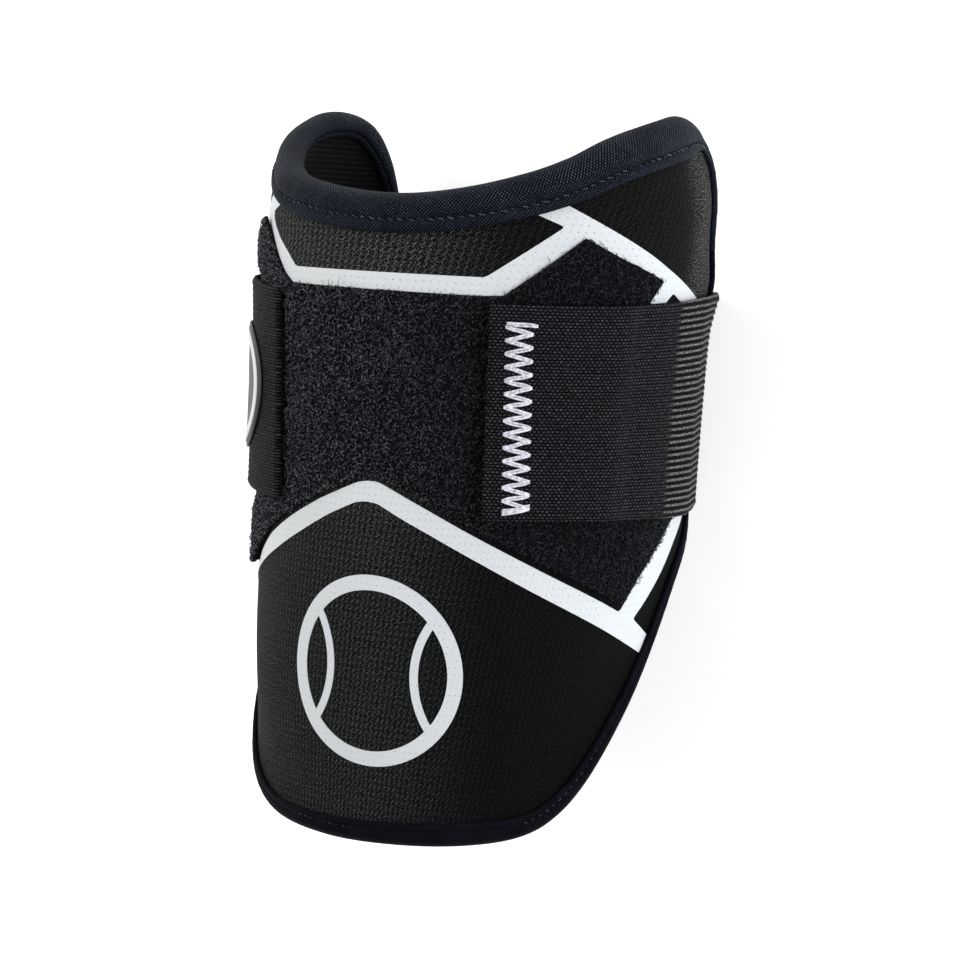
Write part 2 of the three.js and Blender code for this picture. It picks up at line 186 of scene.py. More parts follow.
def two_faced(name, outer, inner, finish, cloth):
    """A closed layer between two grids of points, columns running right and rows up."""
    columns, rows = outer.shape[0], outer.shape[1]
    index = np.arange(2 * columns * rows).reshape(2, columns, rows)
    front, back = index

    def quads(a, b, c, d):
        return np.stack([a, b, c, d], -1).reshape(-1, 4)

    faces = np.concatenate([
        quads(front[:-1, :-1], front[1:, :-1], front[1:, 1:], front[:-1, 1:]),
        quads(back[:-1, :-1], back[:-1, 1:], back[1:, 1:], back[1:, :-1]),
        quads(back[:-1, 0], back[1:, 0], front[1:, 0], front[:-1, 0]),
        quads(front[:-1, -1], front[1:, -1], back[1:, -1], back[:-1, -1]),
        quads(front[0, :-1], front[0, 1:], back[0, 1:], back[0, :-1]),
        quads(back[-1, :-1], back[-1, 1:], front[-1, 1:], front[-1, :-1])])
    points = np.concatenate([outer.reshape(-1, 3), inner.reshape(-1, 3)])
    return new_piece(name, points, faces.tolist(), finish, np.concatenate([cloth, cloth]))


def in_place(piece, material_slot, *nodes):
    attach(piece, "root")
    if nodes:
        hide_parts(*nodes)


def new_finish(name, roughness, specular=0.5):
    finish = bpy.data.materials.new(name)
    finish.use_nodes = True
    shader = finish.node_tree.nodes["Principled BSDF"]
    shader.inputs["Roughness"].default_value = roughness
    shader.inputs["Specular IOR Level"].default_value = specular
    return finish, finish.node_tree, shader


def feed(tree, value, socket):
    if isinstance(value, bpy.types.NodeSocket):
        tree.links.new(value, socket)
    else:
        socket.default_value = value


def calc(tree, operation, *values):
    made = tree.nodes.new("ShaderNodeMath")
    made.operation = operation
    for value, socket in zip(values, made.inputs):
        feed(tree, value, socket)
    return made.outputs[0]


def rescale(tree, value, low, high, first=0.0, last=1.0):
    made = tree.nodes.new("ShaderNodeMapRange")
    made.interpolation_type = "SMOOTHSTEP"
    for given, socket in zip((value, low, high, first, last), made.inputs):
        feed(tree, given, socket)
    return made.outputs[0]


def blend_colours(tree, share, first, second):
    made = tree.nodes.new("ShaderNodeMix")
    made.data_type = "RGBA"
    feed(tree, share, made.inputs[0])
    for colour, socket in ((first, made.inputs[6]), (second, made.inputs[7])):
        feed(tree, colour if isinstance(colour, bpy.types.NodeSocket) else (*colour, 1), socket)
    return made.outputs[2]


def colour_surface(tree, shader, share, first, second):
    tree.links.new(blend_colours(tree, share, first, second), shader.inputs["Base Color"])


def noise(tree, place, scale, detail=2.0):
    made = tree.nodes.new("ShaderNodeTexNoise")
    made.inputs["Scale"].default_value = scale
    made.inputs["Detail"].default_value = detail
    feed(tree, place, made.inputs["Vector"])
    return made.outputs["Fac"]


def cloth_place(tree):
    made = tree.nodes.new("ShaderNodeUVMap")
    made.uv_map = "cloth"
    return made.outputs["UV"]


def object_place(tree):
    return tree.nodes.new("ShaderNodeTexCoord").outputs["Object"]


def split_place(tree, place):
    made = tree.nodes.new("ShaderNodeSeparateXYZ")
    tree.links.new(place, made.inputs[0])
    return made.outputs


def raise_surface(tree, shader, height, distance, strength=1.0):
    made = tree.nodes.new("ShaderNodeBump")
    made.inputs["Distance"].default_value = distance
    made.inputs["Strength"].default_value = strength
    feed(tree, height, made.inputs["Height"])
    tree.links.new(made.outputs["Normal"], shader.inputs["Normal"])


def new_group(name, inputs, outputs):
    tree = bpy.data.node_groups.new(name, "ShaderNodeTree")
    for label, kind in inputs:
        tree.interface.new_socket(label, in_out="INPUT", socket_type=kind)
    for label in outputs:
        tree.interface.new_socket(label, in_out="OUTPUT", socket_type="NodeSocketFloat")
    return tree, tree.nodes.new("NodeGroupInput").outputs, tree.nodes.new("NodeGroupOutput").inputs


def use_group(tree, group, *values):
    made = tree.nodes.new("ShaderNodeGroup")
    made.node_tree = group
    for value, socket in zip(values, made.inputs):
        feed(tree, value, socket)
    return made.outputs


# Knitted mesh. Slanting zigzag lines of stitches fan out a little from left to right, with a
# small open cell between each two.
knit_size = (1.5, 1.6)
knit_mesh, given, result = new_group("knit_mesh", [
    ("Place", "NodeSocketVector"), ("Spacing", "NodeSocketFloat"), ("Rise", "NodeSocketFloat")],
    ["Line", "Hole"])
tree = knit_mesh
parts = split_place(tree, given["Place"])
lean = calc(tree, "ADD", calc(tree, "MULTIPLY", parts[0], 0.0035), 0.12)
leant = calc(tree, "MULTIPLY", lean, calc(tree, "SUBTRACT", parts[1], 75.0))
upright = calc(tree, "SUBTRACT", parts[0], leant)
in_row = calc(tree, "FRACT", calc(tree, "DIVIDE", parts[1], given["Rise"]))
zigzag = calc(tree, "ABSOLUTE", calc(tree, "SUBTRACT", in_row, 0.5))
column = calc(tree, "ADD", calc(tree, "DIVIDE", upright, given["Spacing"]),
              calc(tree, "MULTIPLY", zigzag, 0.7))
from_line = calc(tree, "ABSOLUTE", calc(tree, "SUBTRACT", calc(tree, "FRACT", column), 0.5))
knit_line = rescale(tree, from_line, 0.17, 0.02)
lit_side = rescale(tree, in_row, 0.42, 0.58, 1.0, 0.3)
tree.links.new(calc(tree, "MULTIPLY", knit_line, lit_side), result["Line"])
cell = calc(tree, "MULTIPLY", rescale(tree, from_line, 0.36, 0.45), rescale(tree, zigzag, 0.36, 0.45))
tree.links.new(cell, result["Hole"])


def drawn_out(tree, place, across, up):
    """The place on the cloth, drawn out so that a noise read there makes long or tall specks."""
    made = tree.nodes.new("ShaderNodeVectorMath")
    made.operation = "MULTIPLY"
    tree.links.new(place, made.inputs[0])
    made.inputs[1].default_value = (across, up, 1)
    return made.outputs[0]


mesh_fabric, tree, shader = new_finish("mesh_fabric", 0.7, 0.04)
place = cloth_place(tree)
knit = use_group(tree, knit_mesh, place, *knit_size)
grain = noise(tree, drawn_out(tree, place, 1.3, 0.8), 3.2)
lit_dash = rescale(tree, grain, 0.52, 0.66)
parts = split_place(tree, place)
# Painted shade: the knit's colour darkens towards the right and towards the bottom of the panel, where
# less of the light from the upper left falls.
painted_light_falloff = calc(tree, "MULTIPLY", rescale(tree, parts[0], 0.0, 35.0, 1.0, 0.13),
               rescale(tree, parts[1], 50.0, 120.0, 0.55, 1.0))
# Painted highlights: the stitch lines and short dashes of the black knit are coloured light where light
# would catch them.
lit = calc(tree, "MULTIPLY", knit["Line"], rescale(tree, grain, 0.40, 0.58, 0.2, 0.7))
lit = calc(tree, "ADD", lit, calc(tree, "MULTIPLY", lit_dash, 0.6))
# Painted highlight: a patch of pale glints on the right wing's upper corner, where the light from the
# right grazes the knit.
rim_glint = rescale(tree, noise(tree, drawn_out(tree, place, 0.35, 0.8), 3.3, 1.0), 0.55, 0.61)
rim_glint = calc(tree, "MULTIPLY", rim_glint, rescale(tree, parts[0], 79.0, 89.0))
rim_glint = calc(tree, "MULTIPLY", rim_glint, rescale(tree, parts[1], 112.0, 125.0))
knit_tone = blend_colours(
    tree, calc(tree, "MULTIPLY", lit, painted_light_falloff), (0.0014, 0.0016, 0.0016), (0.205, 0.222, 0.214))
colour_surface(tree, shader, rim_glint, knit_tone, (0.130, 0.132, 0.130))
raise_surface(tree, shader, calc(tree, "ADD", knit["Line"], grain), 0.0003, 0.8)


def panel_grid(columns, rows):
    """Places over the whole panel, closer together in columns near its two free edges."""
    places = np.linspace(0, 1, columns)
    places = places - 0.035 * np.sin(2 * math.pi * places)
    shares = np.linspace(0, 1, rows)[None, :, None]
    low_edge, high_edge = edge_line(lower, places), edge_line(upper, places)
    return low_edge[:, None] * (1 - shares) + high_edge[:, None] * shares


panel_spots = panel_grid(241, 97)
panel_gaps = edge_distance(panel_spots)
soft_waves = 0.12 * np.sin(panel_spots[..., 0] / 9) * np.sin(panel_spots[..., 1] / 12 + 1)
soft_waves = soft_waves * eased(panel_gaps, 6, 20)
shell = two_faced(
    "shell_pad", at_spots(panel_spots, outer_face(panel_gaps) + soft_waves * 0.5),
    at_spots(panel_spots, inner_face(panel_gaps)), mesh_fabric, panel_spots.reshape(-1, 2))
in_place(shell, "mesh_fabric", "shell")

# Lining. A thin knitted cloth with fine level ribs, glued to the inside of the foam and caught
# under the roll and the tape. It shows inside the wings.
lining_pitch, lining_gap, lining_thickness, lining_rib_rise = 1.3, 0.3, 0.85, 0.12
ribbed_lining, tree, shader = new_finish("ribbed_lining", 0.75, 0.1)
place = cloth_place(tree)
rib_turn = calc(tree, "MULTIPLY", split_place(tree, place)[1], 2 * math.pi / lining_pitch)
# Painted highlights: the level ribs are coloured lighter along their tops, broken up into painted glints.
rib_light = rescale(tree, calc(tree, "SINE", rib_turn), -0.2, 0.9)
lining_glint = rescale(tree, noise(tree, place, 2.4, 3.0), 0.45, 0.68)
rib_lit = calc(tree, "MULTIPLY", rib_light, rescale(tree, lining_glint, 0, 1, 0.15, 1.0))
colour_surface(tree, shader, rib_lit, (0.0015, 0.0012, 0.0015), (0.030, 0.024, 0.027))
raise_surface(tree, shader, calc(tree, "ADD", rib_light, lining_glint), 0.0003, 0.8)

lining_spots = panel_grid(73, 361)
lining_face = inner_face(edge_distance(lining_spots)) - lining_gap
lining_ribs = lining_rib_rise * np.sin(2 * math.pi * lining_spots[..., 1] / lining_pitch)
lining = two_faced(
    "lining_cloth", at_spots(lining_spots, lining_face),
    at_spots(lining_spots, lining_face - lining_thickness - lining_ribs), ribbed_lining,
    lining_spots.reshape(-1, 2))
in_place(lining, "ribbed_lining", "lining")

# White stripes. Thin film pressed hot into the mesh fabric, so that the open cells still show
# through it as faint grey pits. They run round the loop patch and out to the roll and the tape.
film_lift, film_thickness, film_step = 0.2, 0.00015, 2.5
white_film, tree, shader = new_finish("white_film", 0.5, 0.25)
place = cloth_place(tree)
hole = use_group(tree, knit_mesh, place, *knit_size)["Hole"]
worn = rescale(tree, noise(tree, place, 1.1, 3.0), 0.48, 0.68, 0.12, 0.9)
pit = calc(tree, "MULTIPLY", hole, worn)
colour_surface(tree, shader, pit, (0.66, 0.685, 0.705), (0.34, 0.36, 0.38))
raise_surface(tree, shader, calc(tree, "SUBTRACT", noise(tree, place, 1.6), hole), 0.00025, 0.6)


def spots_and_faces(form):
    """The places and the faces of a flat form, which is freed."""
    form.verts.index_update()
    spots = np.array([vert.co[:2] for vert in form.verts])
    faces = [[vert.index for vert in face.verts] for face in form.faces]
    form.free()
    return spots, faces


def cut_out(outlines):
    """Pieces cut to outlines given as around and up, divided so that they bend with the panel."""
    form = bmesh.new()
    for shape in outlines:
        shape = np.asarray(shape, float)
        ahead = np.roll(shape, -1, axis=0)
        if (shape[:, 0] * ahead[:, 1] - shape[:, 1] * ahead[:, 0]).sum() < 0:
            shape = shape[::-1]
        form.faces.new([form.verts.new((x, y, 0)) for x, y in shape])
    whole = np.concatenate([np.asarray(shape, float) for shape in outlines])
    for axis in (0, 1):
        normal = [0, 0, 0]
        normal[axis] = 1
        first = math.ceil(whole[:, axis].min() / film_step) * film_step
        for line in np.arange(first, whole[:, axis].max(), film_step):
            point = [0, 0, 0]
            point[axis] = line + 0.01
            bmesh.ops.bisect_plane(
                form, geom=form.verts[:] + form.edges[:] + form.faces[:], dist=1e-4,
                plane_co=point, plane_no=normal)
    return spots_and_faces(form)


def rounded(shape, radius, steps=4):
    """An outline with its corners rounded off."""
    shape = np.asarray(shape, float)
    made = []
    for before, corner, after in zip(np.roll(shape, 1, axis=0), shape, np.roll(shape, -1, axis=0)):
        back, ahead = before - corner, after - corner
        from_back = min(radius, np.hypot(*back) / 2.2) / np.hypot(*back)
        from_ahead = min(radius, np.hypot(*ahead) / 2.2) / np.hypot(*ahead)
        for share in np.linspace(0, 1, steps):
            made.append((1 - share)**2 * (corner + back * from_back)
                        + 2 * share * (1 - share) * corner
                        + share**2 * (corner + ahead * from_ahead))
    return np.array(made)


def pressed_film(name, spots, faces, lift, thickness, finish):
    """A thin layer over the panel's outer face, its lift in millimetres, its thickness in metres."""
    points = at_spots(spots, outer_face(edge_distance(spots)) + lift)
    piece = new_piece(name, points, faces, finish, spots)
    for other in bpy.context.selected_objects:
        other.select_set(False)
    bpy.context.view_layer.objects.active = piece
    wall = piece.modifiers.new("wall", "SOLIDIFY")
    wall.thickness = thickness
    wall.offset = -1
    bpy.ops.object.modifier_apply(modifier="wall")
    form = bmesh.new()
    form.from_mesh(piece.data)
    for edge in form.edges:
        edge.smooth = len(edge.link_faces) == 2 and edge.calc_face_angle() < 0.8
    form.to_mesh(piece.data)
    form.free()
    return piece


upper_stripe = [
    (-27.0, 131.0), (-31.6, 134.2), (-36.2, 136.9), (-40.8, 140.0), (-42.8, 142.0), (-42.9, 143.5),
    (-37.6, 145.3), (-41.8, 149.4), (-48.7, 145.6), (-55.5, 142.8), (-72.8, 134.7), (-92.5, 126.9),
    (-96.0, 120.5), (-80.2, 127.1), (-75.6, 129.2), (-73.0, 127.1), (-62.5, 118.0), (-57.5, 119.0),
    (-65.6, 127.2), (-69.2, 131.8), (-56.2, 136.0), (-46.5, 140.6), (-36.0, 132.7),
    (-27.2, 125.8), (29.5, 126.5), (37.0, 132.2), (47.3, 140.2), (56.2, 136.0),
    (69.2, 131.8), (65.6, 127.2), (57.5, 119.0), (62.5, 118.0), (73.0, 127.1),
    (75.6, 129.2), (80.2, 127.1), (96.0, 120.5), (92.5, 126.9), (72.8, 134.7),
    (55.5, 142.6), (42.8, 148.3), (38.0, 149.8), (33.0, 147.0), (42.2, 143.5), (25.2, 131.3)]
chevron = [
    (1.1, 83.2), (3.9, 83.1), (8.2, 81.3), (16.2, 77.7), (28.9, 71.6), (45.8, 63.6), (65.5, 54.6),
    (72.6, 62.8), (80.6, 69.0), (88.5, 74.6), (100.0, 81.5), (103.5, 75.8), (92.5, 69.1),
    (83.8, 62.2), (71.1, 52.6), (79.4, 47.0), (75.6, 43.6), (55.4, 53.2), (41.7, 59.8),
    (29.2, 66.1), (17.8, 71.7), (9.9, 75.3), (4.0, 78.1), (0.8, 78.4), (-2.1, 77.9), (-9.9, 74.3),
    (-19.1, 69.4), (-30.0, 63.9), (-45.5, 56.8), (-59.3, 50.6), (-77.0, 43.2), (-81.2, 47.8),
    (-71.9, 51.7), (-83.8, 62.2), (-92.5, 69.1), (-103.5, 75.8), (-100.0, 81.5), (-88.5, 74.6),
    (-80.6, 69.0), (-72.6, 62.8), (-65.5, 54.6), (-47.6, 56.6), (-41.6, 61.7), (-33.8, 67.0),
    (-22.7, 72.8), (-12.8, 77.7), (-1.8, 82.6)]
spots, faces = cut_out([rounded(upper_stripe, 0.9), rounded(chevron, 0.9)])
stripes = pressed_film("white_stripes", spots, faces, film_lift, film_thickness, white_film)
in_place(stripes, "mesh_fabric")

# Badge on the lower front. A plain ball with its two curved seams, cut from the same thin white
# film as the stripes and pressed hot into the mesh fabric.
badge_x, badge_y, ball_radius, ball_band = 3.6, 39.0, 22.5, 3.6
seam_offset, seam_radius, seam_band, seam_turn = 33.0, 23.0, 2.0, 0.6


def add_band(form, centre_x, radius, band, first, last, steps):
    """Adds a curved band of film, two cells across, to a flat form."""
    rows = []
    for turn in np.linspace(first, last, steps + 1):
        radii = (radius - band, radius - band / 2, radius)
        rows.append([form.verts.new((centre_x + part * np.cos(turn), badge_y + part * np.sin(turn), 0))
                     for part in radii])
    for near, far in zip(rows[:-1], rows[1:]):
        for cell in (0, 1):
            form.faces.new([near[cell], near[cell + 1], far[cell + 1], far[cell]])


ball = bmesh.new()
add_band(ball, badge_x, ball_radius, ball_band, 0, 2 * math.pi, 96)
for side, facing in ((-1, 0), (1, math.pi)):
    add_band(ball, badge_x + side * seam_offset, seam_radius, seam_band, facing - seam_turn,
             facing + seam_turn, 30)
bmesh.ops.remove_doubles(ball, verts=ball.verts[:], dist=1e-3)
spots, faces = spots_and_faces(ball)
badge = pressed_film("front_badge", spots, faces, film_lift, film_thickness, white_film)
in_place(badge, "mesh_fabric")

# Roll. A padded tube of twill, folded over the top edge from wing to wing and sewn down with
# one line of stitches near its lower lip. Towards its two ends it sinks to a flat tape.
twill_weave, given, result = new_group("twill_weave", [
    ("Place", "NodeSocketVector"), ("Pitch", "NodeSocketFloat")], ["Height"])
tree = twill_weave
parts = split_place(tree, given["Place"])
turn_share = calc(tree, "DIVIDE", 2 * math.pi, given["Pitch"])
rising = calc(tree, "ADD", parts[0], parts[1])
falling = calc(tree, "SUBTRACT", parts[0], parts[1])
rib_wave = calc(tree, "SINE", calc(tree, "MULTIPLY", rising, turn_share))
cross_wave = calc(tree, "SINE", calc(tree, "MULTIPLY", falling, turn_share))
twill_height = calc(tree, "ADD", calc(tree, "MULTIPLY", rib_wave, 0.28),
                    calc(tree, "MULTIPLY", cross_wave, 0.22))
tree.links.new(calc(tree, "ADD", twill_height, 0.5), result["Height"])

rim_twill, tree, shader = new_finish("rim_twill", 0.6, 0.05)
place = cloth_place(tree)
weave = use_group(tree, twill_weave, place, 0.84)["Height"]
patchy = noise(tree, place, 0.12, 3.0)
threads_lit = calc(tree, "MULTIPLY", rescale(tree, weave, 0.46, 0.95),
                   rescale(tree, patchy, 0.3, 0.7, 0.6, 1.0))
fibres = rescale(tree, noise(tree, place, 2.8), 0.40, 0.62, 0.25, 1.0)
threads_lit = calc(tree, "MULTIPLY", threads_lit, fibres)
colour_surface(tree, shader, threads_lit, (0.0006, 0.0008, 0.0020), (0.090, 0.118, 0.175))
raise_surface(tree, shader, calc(tree, "ADD", weave, calc(tree, "MULTIPLY", patchy, 0.6)), 0.0003, 0.9)

fold_step, fold_middle = 1.3, -2.85
slot_inside, slot_outside, slot_past = -5.0, -0.7, 0.6
roll_half = [
    (-5.1, -0.95), (-5.5, -0.6), (-5.6, -0.05), (-5.3, 0.45), (-4.75, 0.78), (-4.05, 0.94),
    (-3.45, 0.84), (-3.0, 0.5), (-2.7, 0.12), (-2.4, 0.35), (-1.95, 0.85), (-1.1, 1.16),
    (0, 1.22), (1.1, 0.95), (2.05, 0.35), (2.8, -0.55), (3.3, -1.65), (3.5, -2.85)]
tape_half = [
    (-3.2, -0.95), (-3.45, -0.7), (-3.5, -0.35), (-3.4, -0.02), (-3.15, 0.2), (-2.75, 0.33),
    (-2.35, 0.32), (-2.1, 0.18), (-1.95, 0.02), (-1.8, 0.14), (-1.55, 0.32), (-1.0, 0.4),
    (-0.4, 0.38), (0.15, 0.18), (0.7, -0.25), (1.15, -0.9), (1.42, -1.8), (1.5, -2.85)]


def whole_fold(half, depth, inside_share):
    """A fold's closed section: its outside from lip to lip, then the slot that holds the edge."""
    half = np.array(half)
    inside = np.stack([half[::-1, 0], 2 * fold_middle - half[::-1, 1]], -1)[1:]
    inside[:, 0] = np.where(inside[:, 0] < 0, inside[:, 0] * inside_share, inside[:, 0])
    outside = np.concatenate([half, inside])
    steps = np.arange(len(outside))
    fine = np.linspace(0, len(outside) - 1, 2 * len(outside) - 1)
    smooth = np.stack([through_rows(steps, outside[:, axis], fine) for axis in (0, 1)], -1)
    inner_depth = depth * inside_share * 0.9
    slot_points = [
        (-inner_depth, slot_inside), (-inner_depth / 2, slot_inside), (slot_past, slot_inside),
        (slot_past, slot_outside), (-depth / 2, slot_outside), (-depth, slot_outside)]
    return np.concatenate([smooth, slot_points])


roll_section, tape_section = whole_fold(roll_half, 5.0, 0.5), whole_fold(tape_half, 3.0, 0.8)


def run_along(line):
    """The distance along a line at each of its points."""
    return np.concatenate([[0], np.cumsum(np.linalg.norm(np.diff(line, axis=0), axis=1))])


def even_points(line, margin, step):
    lengths = run_along(line)
    count = max(round((lengths[-1] - 2 * margin) / step), 1)
    wanted = np.linspace(margin, lengths[-1] - margin, count + 1)
    points = np.stack([np.interp(wanted, lengths, line[:, axis]) for axis in (0, 1)], -1)
    return points, wanted


def outward_of(stations):
    ahead = np.concatenate([stations[1:], stations[-1:]])
    behind = np.concatenate([stations[:1], stations[:-1]])
    along = ahead - behind
    along /= np.hypot(along[:, 0], along[:, 1])[:, None]
    return np.stack([along[:, 1], -along[:, 0]], -1)


def sewn_fold(name, line, sections, finish, wrinkle):
    """A fold swept along the panel's edge, with one section for each station."""
    stations, lengths = even_points(line, 0.0, fold_step)
    outward = outward_of(stations)
    shapes = sections(np.linspace(0, 1, len(stations)), stations[:, 0])
    fine = (np.sin(lengths * 1.9) * np.sin(lengths * 0.53 + 1))[:, None]
    pucker = 1 + wrinkle * fine * np.exp(-((shapes[..., 0] + 1) / 3)**2)
    out = fold_middle + (shapes[..., 1] - fold_middle) * pucker
    spots = stations[:, None] + outward[:, None] * shapes[..., :1]
    points = at_spots(spots, out)
    around = run_along(shapes[len(shapes) // 2])
    cloth = np.stack(np.broadcast_arrays(lengths[:, None], around[None]), -1)
    rings, size = shapes.shape[:2]
    index = np.arange(rings * size).reshape(rings, size)
    beside = np.roll(index, -1, axis=1)
    quads = np.stack([index[:-1], beside[:-1], beside[1:], index[1:]], -1).reshape(-1, 4).tolist()
    piece = new_piece(
        name, points, quads + [index[0][::-1].tolist(), index[-1].tolist()], finish, cloth.reshape(-1, 2))
    form = bmesh.new()
    form.from_mesh(piece.data)
    ends = [face for face in form.faces if len(face.verts) > 4]
    bmesh.ops.triangulate(form, faces=ends)
    bmesh.ops.recalc_face_normals(form, faces=form.faces[:])
    form.to_mesh(piece.data)
    form.free()
    return piece


def threads(name, paths, radius, upwards, sides, finish, flat=1.0):
    """Short closed threads along paths (number, points, 3) in millimetres."""
    paths = np.asarray(paths, float)
    number, rings = paths.shape[:2]
    along = np.gradient(paths, axis=1)
    along /= np.linalg.norm(along, axis=2)[..., None]
    upwards = np.broadcast_to(upwards, paths.shape)
    across = np.cross(along, upwards)
    across /= np.linalg.norm(across, axis=2)[..., None]
    above = np.cross(along, across)
    taper = np.ones(rings)
    taper[[0, -1]] = 0.55
    size = np.broadcast_to(np.asarray(radius, float).reshape(-1, 1), (number, rings)) * taper
    turns = np.arange(sides) * 2 * math.pi / sides
    points = (paths[:, :, None]
              + size[..., None, None] * (np.cos(turns)[:, None] * across[:, :, None]
                                         + flat * np.sin(turns)[:, None] * above[:, :, None]))
    index = np.arange(number * rings * sides).reshape(number, rings, sides)
    beside = np.roll(index, -1, axis=2)
    walls = np.stack([index[:, :-1], beside[:, :-1], beside[:, 1:], index[:, 1:]], -1).reshape(-1, 4)
    faces = walls.tolist() + index[:, 0, ::-1].tolist() + index[:, -1].tolist()
    return new_piece(name, points, faces, finish)


def with_upwards(spots, lift):
    """Points over places on the panel, and the direction out of its face at each of them."""
    points = at_spots(spots, lift)
    return points, at_spots(spots, lift + 1) - points


def line_of_stitches(line, past, out, margin, pitch, length, slant):
    """Paths of small stitches along a fold, each lying in the groove of the seam."""
    stations = even_points(line, margin, pitch)[0]
    outward = outward_of(stations)
    along = np.stack([-outward[:, 1], outward[:, 0]], -1)
    shares = np.linspace(-0.5, 0.5, 5)
    spots = (stations[:, None] + outward[:, None] * (past + slant * shares)[None, :, None]
             + along[:, None] * (length * shares)[None, :, None])
    return with_upwards(spots, out - 0.28 * (2 * shares)**2)


def roll_sections(shares, arounds):
    """The roll swells from a flat tape at its ends, and is fullest to the right of the front."""
    swell = (eased(shares, 0.115, 0.185) * eased(1 - shares, 0, 0.09))[:, None, None]
    shapes = tape_section + (roll_section - tape_section) * swell
    past, grown = shapes[..., 0], eased(arounds, 0, 35)[:, None]
    lip = 1 - 0.1 * grown - 0.15 * eased(-arounds, 30, 44)[:, None]
    crest = np.where(past > 0, 1 + 0.34 * grown + 0.08 * eased(-arounds, 65, 85)[:, None], lip)
    thin = 1 - 0.16 * (eased(-arounds, 32, 46) * (1 - eased(-arounds, 70, 85)))[:, None]
    return np.stack([past * crest, fold_middle + (shapes[..., 1] - fold_middle) * thin], -1)


def tape_sections(shares, arounds):
    """The tape is widest at the front and narrows towards the free edges."""
    shapes = np.repeat(tape_section[None], len(shares), 0)
    places, widths = (-60, -42, 0, 28, 50, 70, 95), (0.72, 0.8, 1.12, 1.3, 1.0, 0.9, 0.75)
    wider = np.interp(arounds, places, widths)[:, None]
    past = np.where(shapes[..., 0] < 0, shapes[..., 0] * wider, shapes[..., 0])
    return np.stack([past, shapes[..., 1]], -1)


roll = sewn_fold("top_roll", top_line, roll_sections, rim_twill, 0.02)
in_place(roll, "rim_twill", "top_rim")

seam_thread, tree, shader = new_finish("seam_thread", 0.5, 0.15)
twist = rescale(tree, noise(tree, object_place(tree), 900), 0.35, 0.65)
colour_surface(tree, shader, twist, (0.006, 0.007, 0.011), (0.085, 0.095, 0.115))
paths, upwards = line_of_stitches(
    top_line, past=-2.55, out=0.5, margin=34, pitch=2.3, length=1.75, slant=0.55)
roll_stitches = threads("roll_stitches", paths, 0.2, upwards, 6, seam_thread)
in_place(roll_stitches, "rim_twill")

# Edge tape. The same twill folded flat over the lip and the free edges, sewn through with one
# line of stitches close to its inner border.
edge_tape, tree, shader = new_finish("edge_tape", 0.58, 0.03)
place = cloth_place(tree)
weave = use_group(tree, twill_weave, place, 0.75)["Height"]
patchy = noise(tree, place, 0.15, 3.0)
threads_lit = calc(tree, "MULTIPLY", rescale(tree, weave, 0.40, 0.95),
                   rescale(tree, patchy, 0.3, 0.7, 0.4, 1.0))
colour_surface(tree, shader, threads_lit, (0.0006, 0.0007, 0.0015), (0.015, 0.017, 0.027))
raise_surface(tree, shader, calc(tree, "ADD", weave, calc(tree, "MULTIPLY", patchy, 0.6)), 0.00025, 0.8)

tape = sewn_fold("edge_tape", lip_line, tape_sections, edge_tape, 0.012)
in_place(tape, "edge_tape", "edge_binding")
paths, upwards = line_of_stitches(
    lip_line, past=-1.95, out=0.07, margin=3, pitch=2.1, length=1.5, slant=0.3)
tape_stitches = threads("tape_stitches", paths, 0.13, upwards, 6, seam_thread)
in_place(tape_stitches, "edge_tape")

# Loop patch. A raised patch of black loop pile across the front, where the hook tabs of the
# strap take hold. Its ground is a thin knit, and thousands of fine nylon loops stand on it.
patch_outline = [
    (1.1, 84.5), (3.9, 84.4), (8.2, 82.8), (16.2, 79.4), (28.9, 73.4), (45.8, 65.4), (65.4, 56.3),
    (72.4, 64.0), (80.4, 70.3), (86.0, 76.0), (88.0, 82.0), (88.0, 110.0), (79.0, 119.5),
    (66.4, 127.0), (70.4, 132.1), (56.2, 137.1), (47.3, 141.2), (29.7, 127.4), (25.0, 127.1),
    (-27.6, 127.2), (-32.9, 130.0), (-38.6, 135.0), (-43.4, 139.4), (-47.4, 142.3), (-56.2, 137.1),
    (-70.4, 132.1), (-66.4, 127.0), (-79.0, 119.5), (-86.0, 110.0), (-87.0, 82.0), (-85.0, 76.0),
    (-80.4, 70.3), (-72.4, 64.0), (-65.4, 56.3), (-47.6, 57.9), (-41.6, 63.0), (-33.8, 68.3),
    (-22.7, 74.0), (-12.8, 78.9), (-1.8, 83.8)]


def patch_rise(spots):
    """The patch bulges a little at its left side, above and below the strap."""
    clear = 1 - eased(spots[..., 1], 70, 75) * eased(-spots[..., 1], -131, -127)
    return 0.9 * eased(-spots[..., 0], 38, 50) * clear


ground_lift, ground_thickness, loop_foot = 0.75, 0.0006, 0.72
loop_ground, tree, shader = new_finish("loop_ground", 0.95, 0.05)
place = cloth_place(tree)
colour_surface(tree, shader, noise(tree, place, 1.5, 3.0), (0.002, 0.002, 0.003), (0.010, 0.010, 0.014))
raise_surface(tree, shader, noise(tree, place, 3.0, 3.0), 0.0004, 0.8)
spots, faces = cut_out([rounded(patch_outline, 0.5)])
ground = pressed_film(
    "loop_ground", spots, faces, ground_lift + patch_rise(spots), ground_thickness, loop_ground)
in_place(ground, "loop_pile", "loop_panel")

loop_yarn, tree, shader = new_finish("loop_yarn", 0.5, 0.2)
place = object_place(tree)
# Painted highlights: short bright stretches along the black yarn. Painted shade: the pile darkens towards
# the right of the patch, away from the light.
shade = rescale(tree, noise(tree, place, 2100), 0.44, 0.68)
painted_shade_to_right = rescale(tree, split_place(tree, place)[0], -0.03, 0.045, 1.0, 0.24)
shade = calc(tree, "MULTIPLY", shade, painted_shade_to_right)
colour_surface(tree, shader, shade, (0.0016, 0.0018, 0.0028), (0.235, 0.248, 0.290))


